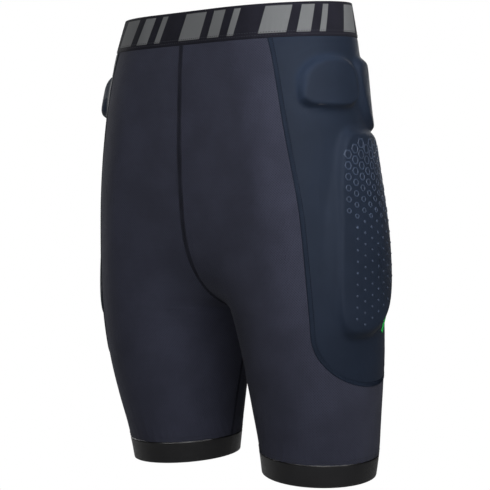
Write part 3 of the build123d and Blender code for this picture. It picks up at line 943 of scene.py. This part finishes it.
def side_panel():
    z, s = side_grid(*COVER_GRID)
    height = SIDE_FIELD.at(z, s) + 0.25 + ripples(z, s, 0.12)
    return cloth_solid(z, s, height - 0.75, height)


def pad_pocket():
    z, s = side_grid(110, 70)
    return cloth_solid(z, s, -FABRIC, -FABRIC + 0.6)


def ringed_solid(z, s, lower, upper):
    """A closed solid over rings of places round a centre, between two heights above the body."""
    points, normals = surface_frame(z, s)
    surfaces = [points + normals * np.broadcast_to(height, z.shape)[..., None]
                for height in (upper, lower)]
    size, (rows, count) = z.size, z.shape
    last = np.arange(count) + (rows - 1) * count
    rim = np.stack([last, np.roll(last, -1), np.roll(last, -1) + size, last + size], axis=1)
    faces = [grid_quads(rows, count, wrap=True, flip=True), grid_quads(rows, count, wrap=True) + size,
             rim, np.arange(count)[None], np.arange(count)[None, ::-1] + size]
    flat = np.stack([s, z], axis=-1)
    return Form().add(np.stack(surfaces), np.stack([flat, flat]), faces)


def pad_form(shape, bottom, centre=None, raised=None):
    """A foam pad: flat underneath, with a crowned top, a rounded edge and perhaps a raised zone."""
    turns = full_turn(96)
    outline_z, outline_s = shape.outline(turns)
    middle_s = shape.centre(np.array(shape.centre_z))
    rings = np.r_[np.linspace(0.02, 0.8, 12), np.linspace(0.84, 1, 9)]
    z = shape.centre_z + rings[:, None] * (outline_z - shape.centre_z)
    s = middle_s + rings[:, None] * (outline_s - middle_s)
    top = shape.top(z, s)
    if raised is not None:
        top = np.maximum(top, raised.top(z, s))
    top = np.maximum(top - 0.6, bottom + 0.2)
    if centre is not None:
        s = s + centre(z)
    return ringed_solid(z, s, bottom, top)


RING_PART = 0.43


def cell_places():
    """Centres of the thigh cells, in staggered columns, and how far down each is, 0 to 1."""
    pitch_s, pitch_z, margin = 10.8, 12.4, 7.0
    top = CELLS.centre_z + CELLS.up - margin
    bottom = CELLS.centre_z - CELLS.down + margin
    for column in range(-2, 8):
        z = top - (column % 2) * pitch_z / 2
        while z > bottom:
            s = CELLS.centre(z) + column * pitch_s + 1.0
            part = (top - z) / (top - bottom)
            if CELLS.radius(z, s) < 0.87 and (column > -2 or part < 0.4):
                yield z, s, part
            z -= pitch_z


def cell_rims():
    """Raised hexagonal rims that shrink to rings and then to dots."""
    form = Form()
    turns = full_turn(24)
    hexagon = 1 / np.cos(np.mod(turns + math.pi / 6, math.pi / 3) - math.pi / 6)
    for z, s, part in cell_places():
        is_ring = part < RING_PART
        if is_ring:
            outer, hole = 6.0 - 7.4 * part, 4.5 - 6.9 * part
            section = [(0, 0), (0.1, 0.3), (0.3, 0.5), (0.7, 0.5), (0.9, 0.3), (1, 0)]
        else:
            outer, hole = max(1.35, 1.9 - 4 * (part - RING_PART)), 0.0
            section = [(0, 0), (0.2, 0.35), (0.45, 0.55), (0.75, 0.62)]
        blend, rise_mm = np.array(section).T
        six_sided = np.clip(1.25 - part * 4, 0, 1) * (1 - blend[:, None])
        radii = (outer + (hole - outer) * blend[:, None]) * (1 + (hexagon[None] - 1) * six_sided)
        place_z, place_s = z + np.cos(turns) * radii, s + np.sin(turns) * radii
        height = SIDE_FIELD.at(place_z, place_s) + 0.2 + rise_mm[:, None]
        points, normals = surface_frame(place_z, place_s)
        rows, count = place_z.shape
        faces = [grid_quads(rows, count, wrap=True)]
        first, last = np.arange(count), np.arange(count) + (rows - 1) * count
        if is_ring:
            faces.append(np.stack([last, np.roll(last, -1), np.roll(first, -1), first], axis=1))
        else:
            faces += [last[None], first[None, ::-1]]
        form.add(points + normals * height[..., None], np.stack([place_s, place_z], axis=-1), faces)
    return form


# ---- bands, seams and trim

SEAM_STEP = 1.2
TAPE_PROFILE = [(1.0, -0.25), (0.98, 0.12), (0.86, 0.3), (0.55, 0.34), (0.3, 0.24), (0.0, 0.2),
                (-0.3, 0.24), (-0.55, 0.34), (-0.86, 0.3), (-0.98, 0.12), (-1.0, -0.25)]


def flat_seam(line, width):
    """A cover-stitched seam: its tape, a thread zigzag and two rows of needle stitches."""
    profile = np.array(TAPE_PROFILE) * (width / 2, 1)
    form = sweep(line.points, line.across, line.normals, profile, line.closed)
    swing = np.where(np.arange(len(line.points)) % 2, 1, -1)[:, None] * width * 0.36
    path = line.points + line.across * swing + line.normals * 0.34
    sideways = unit(np.cross(tangents(path, line.closed), line.normals))
    form.extend(sweep(path, sideways, line.normals, circle(0.14, 5), line.closed))
    every = slice(0, None, 2)
    for side in (-1, 1):
        row = line.points[every] + line.across[every] * side * width * 0.33 + line.normals[every] * 0.26
        form.extend(stitches(row, line.tangents[every], line.normals[every], 1.9, 0.5, 0.28))
    return form


def waist_ring(levels, columns=360):
    """Places all round the waist: left half from front to back, then the right half back again."""
    part = np.linspace(0, 2, columns, endpoint=False)[None]
    z = np.broadcast_to(np.asarray(levels, float)[:, None], (len(levels), columns))
    front, back = centre_front(z), centre_back(z)
    s = np.where(part <= 1, front + part * (back - front), back + (part - 1) * (back - front))
    return z, s, part


def rolled_edge(distance):
    """The fullness of a band at a distance from its edge, from 0 to 1."""
    return np.sqrt(np.clip(1 - (1 - np.clip(distance / 1.2, 0, 1))**2, 0, 1))


def waistband():
    levels = np.r_[BAND_BOTTOM, BAND_BOTTOM + 0.5, np.linspace(BAND_BOTTOM + 1.5, -1.5, 24), -0.5, 0]
    z, s, part = waist_ring(levels)
    rounded = rolled_edge(np.minimum(z - BAND_BOTTOM, -z))
    outer = 0.15 + 0.8 * rounded + ripples(z, s, 0.1)
    signed = np.where(part <= 1, part, part - 2) * 404.0
    return cloth_solid(z, s, outer - 1.1 - 1.0 * rounded, outer, wrap=True,
                       cloth=[np.broadcast_to(signed, z.shape), z])


def ring_line(level, step, height):
    z, s, _ = waist_ring([level])
    return Line(np.r_[z[0], level], np.r_[s[0], s[0][0] + 2 * (centre_back(level) - centre_front(level))],
                step, height, closed=True)


def hem_ring_line(level, step, height):
    s = np.linspace(centre_front(level), centre_back(level), 200)
    return Line(np.full(200, level), s, step, height, closed=True)


def leg_ring(levels, columns):
    """Places all round one leg."""
    z = np.broadcast_to(levels[:, None], (len(levels), columns))
    part = np.linspace(0, 1, columns, endpoint=False)[None]
    return z, centre_front(z) + part * (centre_back(z) - centre_front(z))


def hem_band():
    low = -BODY_LENGTH
    z, s = leg_ring(np.r_[low, low + 0.5, np.linspace(low + 1.5, HEM_TOP - 1, 20), HEM_TOP], 220)
    rounded = rolled_edge(np.minimum(z + BODY_LENGTH, HEM_TOP - z))
    outer = -0.35 + 0.8 * rounded + 0.12 * np.sin(s / 3.1) * np.clip(1 - (HEM_TOP - z) / 9, 0, 1)
    return cloth_solid(z, s, outer - 0.6 - 0.7 * rounded, outer, wrap=True)


def hem_gripper():
    z, s = leg_ring(np.linspace(-BODY_LENGTH + 8, -BODY_LENGTH + 22, 12), 240)
    wave = 0.35 * np.sin(s / 2.2) * np.sin((z + BODY_LENGTH) / 1.6)
    return cloth_solid(z, s, -2.0 + wave, -1.3, wrap=True)


def ring_stitches(lines, length=2.4):
    form = Form()
    for line in lines:
        form.extend(stitches(line.points, line.tangents, line.normals, length, 0.6, 0.4))
    return form


def patch(z_low, z_high, half_width, centre, inner, outer, rows=24, columns=40):
    """A cloth patch centred on a line down the garment."""
    z = np.broadcast_to(np.linspace(z_low, z_high, rows)[:, None], (rows, columns))
    s = centre(z) + np.linspace(-half_width, half_width, columns)[None]
    return cloth_solid(z, s, inner, outer)


def tailbone_pocket():
    """The cover sewn over the tailbone pad, with a flat stitched margin."""
    margin = 12.0
    rings = np.r_[np.linspace(0.03, 0.9, 40), np.linspace(0.92, 1, 8)][:, None]
    turns = full_turn(120)
    reach = np.where(np.sin(turns) > 0, TAILBONE.up, TAILBONE.down) + margin
    z = TAILBONE.centre_z + rings * reach * np.sin(turns)
    flat_s = rings * (TAILBONE.front + margin) * np.cos(turns)
    s = centre_back(z) + flat_s
    inward = (1 - TAILBONE.radius(z, flat_s)) * TAILBONE.front
    slope = np.clip((inward + 8) / 12, 0, 1)
    groove = 0.8 * np.exp(-((TAILBONE.radius(z, flat_s) - 0.62) * 22)**2)
    outer = 0.55 + TAILBONE.thickness(z, s) * slope * slope * (3 - 2 * slope) - groove
    return ringed_solid(z, s, outer - 0.5, outer)


def side_seam_line():
    levels = np.linspace(SIDE_ROUND_START, BAND_BOTTOM, 60)
    bottom = side_bottom(np.radians(np.linspace(-89, 89, 50)))
    path = np.vstack([np.column_stack([levels, side_front(levels)])[::-1], bottom,
                      np.column_stack([levels, side_rear(levels)])])
    return Line(path[:, 0], path[:, 1], SEAM_STEP, 0.25)


def centre_line(centre):
    """A line on a centre seam, with its places gathered towards the fork."""
    z = CROTCH_Z + np.linspace(math.sqrt(0.2), math.sqrt(BAND_BOTTOM - CROTCH_Z), 200)**2
    return Line(z, centre(z), SEAM_STEP, 0.3)


def inner_leg_line():
    z = np.linspace(HEM_TOP, CROTCH_Z - 1, 60)
    return Line(z, centre_front(z), SEAM_STEP, 0.1)


def accent_strip():
    path_z, path_s = np.linspace(-371, -343, 20), np.linspace(30, 48, 20)
    line = Line(path_z, path_s, 1.5)
    lifted = line.points + line.normals * (SIDE_FIELD.at(line.z, line.s) + 0.2)[:, None]
    return sweep(lifted, line.across, line.normals, [(2, 0), (1.9, 0.9), (0, 1.3), (-1.9, 0.9), (-2, 0)])


def build_garment():
    m = MATERIALS
    simulate_cover()
    make_piece("waistband_elastic", waistband(), m["band"], "waistband")
    rows = [ring_line(level, 3.0, 0.9) for level in (-37.0, -33.5)]
    make_piece("waistband_stitch_rows", ring_stitches(rows), m["thread"], "waistband_stitching")
    label = patch(-32, -8, 17, centre_back, -FABRIC - 0.9, -FABRIC - 0.3, 20, 30)
    make_piece("blank_label", label, m["label"], "waistband_label")
    lining = patch(LINING_BOTTOM, BAND_BOTTOM, 113, centre_front, -FABRIC - 0.7, -FABRIC - 0.1, 40, 110)
    make_piece("front_lining_mesh", lining, m["lining"], "front_lining")

    # Each sheet's cut: the rectangle that it fits in and its own area, before it is worn
    sheets = [
        ("front_panel_knit", front_panel(), "knit", "front_panel", (0.320, 0.480), 0.087),
        ("back_panel_knit", back_panel(), "knit", "back_panel", (0.240, 0.480), 0.062),
        ("side_cover", side_panel(), "jersey", "side_panel", (0.216, 0.388), 0.070),
        ("pad_pocket_mesh", pad_pocket(), "lining", "pad_pocket", (0.216, 0.388), 0.070),
    ]
    for name, form, material, node, flat, area in sheets:
        for piece in make_pair(name, form, m[material], node):
            # Painted highlight on the side cover's pad edges.
            if name == "side_cover":
                paint_pad_edge_highlight(piece)

    for name, form, node in (("hip_pad_foam", pad_form(HIP, -0.4), "hip_pad"),
                             ("rear_hip_pad_foam", pad_form(REAR, -0.4), "rear_hip_pad"),
                             ("thigh_pad_foam", pad_form(THIGH, -0.4, raised=CELLS), "thigh_pad")):
        for piece in make_pair(name, form, m["foam"], node):
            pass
    make_pair("cell_rims", cell_rims(), m["rims"], "thigh_pad_cells")
    tailbone_form = pad_form(TAILBONE, 0.3, centre_back)
    tailbone = make_piece("tailbone_pad_foam", tailbone_form, m["foam"], "tailbone_pad")
    make_piece("tailbone_cover", tailbone_pocket(), m["jersey"], "tailbone_pocket")

    leg_path = leg_seam_line(30)
    rear_leg = Line(leg_path[:, 0], leg_path[:, 1], SEAM_STEP, 0.1)
    make_pair("side_seam", flat_seam(side_seam_line(), 5.6), m["side_tape"], "side_panel_seam")
    make_pair("rear_leg_seam", flat_seam(rear_leg, 5.6), m["tape"], "leg_seam")
    make_pair("inner_leg_seam", flat_seam(inner_leg_line(), 4.0), m["tape"], "inseam")
    for name, centre in (("front", centre_front), ("back", centre_back)):
        make_piece(f"{name}_seam", flat_seam(centre_line(centre), 6.0), m["tape"], f"{name}_centre_seam")

    make_pair("hem_elastic", hem_band(), m["hem"], "hem_band")
    make_pair("hem_grip", hem_gripper(), m["silicone"], "hem_gripper")
    hem_rows = [hem_ring_line(level, 3.0, 0.1) for level in (HEM_TOP + 1.6, HEM_TOP + 4.8)]
    make_pair("hem_stitch_rows", ring_stitches(hem_rows), m["thread"], "hem_stitching")
    make_pair("green_tab", accent_strip(), m["accent"], "accent_strip")


build_garment()


# ---- stage, light and camera

VIEW_AZIMUTH = 38.0
VIEW_ELEVATION = 1.7
VIEW_DISTANCE = 1.531
VIEW_CENTRE = Vector((0.0084, 0.0065, -0.2756))
LENS = 94.1


def stage_material():
    """White to the camera and pale to every other ray."""
    material = bpy.data.materials.new("white_sweep")
    material.use_nodes = True
    tree = material.node_tree
    tree.nodes.clear()
    output, path, seen, bounced, mixed = (tree.nodes.new("ShaderNode" + kind) for kind in (
        "OutputMaterial", "LightPath", "Emission", "BsdfDiffuse", "MixShader"))
    bounced.inputs["Color"].default_value = (0.3, 0.3, 0.3, 1)
    sources = (path.outputs["Is Camera Ray"], bounced.outputs[0], seen.outputs[0])
    for socket, source in zip(mixed.inputs, sources):
        tree.links.new(source, socket)
    tree.links.new(mixed.outputs[0], output.inputs[0])
    return material


def make_stage():
    size, floor_z = 6.0, cad_box[0][2] - 0.35
    corners = [(x * size, y * size, floor_z) for x, y in ((-1, -1), (1, -1), (1, 1), (-1, 1))]
    mesh = new_mesh("floor", corners, [(0, 1, 2, 3)])
    mesh.materials.append(stage_material())
    new_object("floor", mesh)


def direction(azimuth, elevation):
    a, e = math.radians(azimuth), math.radians(elevation)
    return Vector((math.sin(a) * math.cos(e), -math.cos(a) * math.cos(e), math.sin(e)))


def area_light(name, azimuth, elevation, distance, size, power):
    data = bpy.data.lights.new(name, "AREA")
    data.shape = "DISK"
    data.size = size
    data.energy = power
    light = new_object(name, data)
    towards = direction(azimuth, elevation)
    light.location = VIEW_CENTRE + towards * distance
    light.rotation_euler = towards.to_track_quat("Z", "Y").to_euler()
    light.visible_camera = False


def make_world():
    world = bpy.data.worlds.new("studio")
    world.use_nodes = True
    tree = world.node_tree
    background = tree.nodes["Background"]
    path = tree.nodes.new("ShaderNodeLightPath")
    strength = tree.nodes.new("ShaderNodeMapRange")
    strength.inputs["To Min"].default_value = 0.01
    strength.inputs["To Max"].default_value = 1.0
    tree.links.new(path.outputs["Is Camera Ray"], strength.inputs["Value"])
    tree.links.new(strength.outputs[0], background.inputs["Strength"])
    background.inputs["Color"].default_value = (1, 1, 1, 1)
    bpy.context.scene.world = world


def make_camera():
    data = bpy.data.cameras.new("camera")
    data.lens = LENS
    data.sensor_width = 36.0
    camera = new_object("camera", data)
    back = direction(VIEW_AZIMUTH, VIEW_ELEVATION)
    camera.location = VIEW_CENTRE + back * VIEW_DISTANCE
    camera.rotation_euler = back.to_track_quat("Z", "Y").to_euler()
    bpy.context.scene.camera = camera


make_stage()
make_world()
LIGHTS = [
    ("key", 66, 35, 0.8, 0.6, 3.7),
    ("low_key", 60, 10, 1.1, 0.8, 5.2),
    ("front", 17, 12, 2.4, 0.5, 14),
    ("left", -95, 10, 2.4, 1.4, 24),
    ("back", 205, 20, 2.4, 1.6, 26),
]
for settings in LIGHTS:
    area_light(*settings)
make_camera()
bpy.context.scene.view_settings.view_transform = "Standard"
